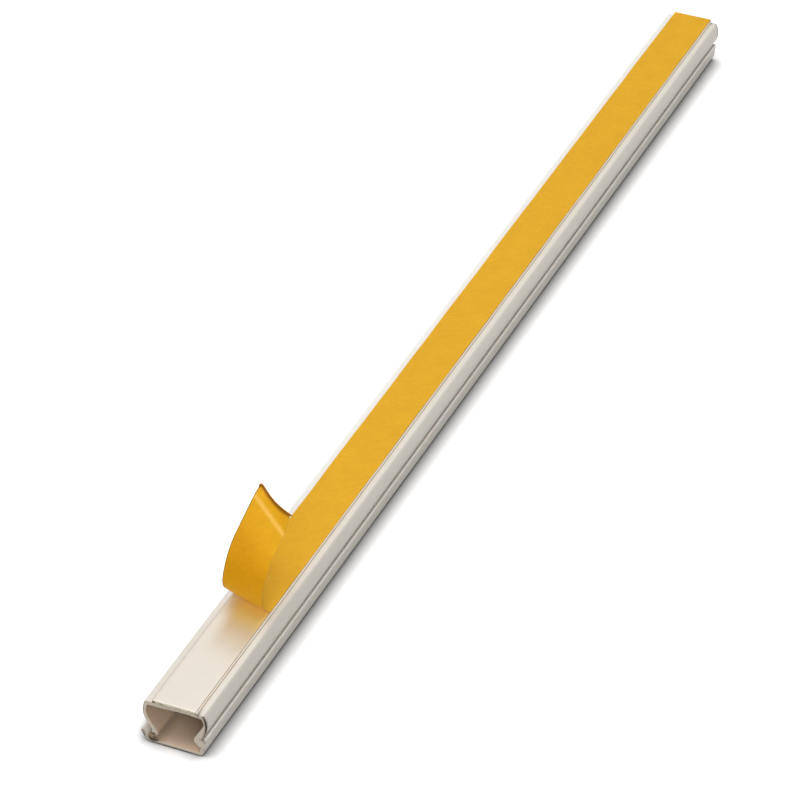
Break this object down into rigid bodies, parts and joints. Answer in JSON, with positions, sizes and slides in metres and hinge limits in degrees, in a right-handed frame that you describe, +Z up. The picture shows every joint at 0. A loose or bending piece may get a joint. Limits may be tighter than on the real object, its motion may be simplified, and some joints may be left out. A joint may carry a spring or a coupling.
{
  "type": "cord cover raceway",
  "caption": "One-piece plastic cord cover raceway lying on its cover, foam tape on its back and a yellow release liner peeled up in a loop at one end.",
  "frame": {"origin": "middle of the length and width, on the cover's flat face, which lies on the floor", "axes": "+Z up, out of the adhesive back; +Y along the length, away from the peeled end; +X across, with the cord entry slot on the -X side and the groove on the +X side"},
  "size_m": [0.0199, 0.4, 0.0409],
  "materials": {
    "pvc": "ivory-white extruded PVC, satin gloss, with fine draw lines along its length",
    "foam": "cream closed-cell foam tape with a tacky acrylic adhesive face",
    "liner": "golden yellow silicone-coated release paper, satin, slightly creased at its free end"
  },
  "bodies": {
    "root": {"raceway_channel": "pvc", "foam_tape": "foam", "release_liner": "liner"}
  },
  "joints": []
}
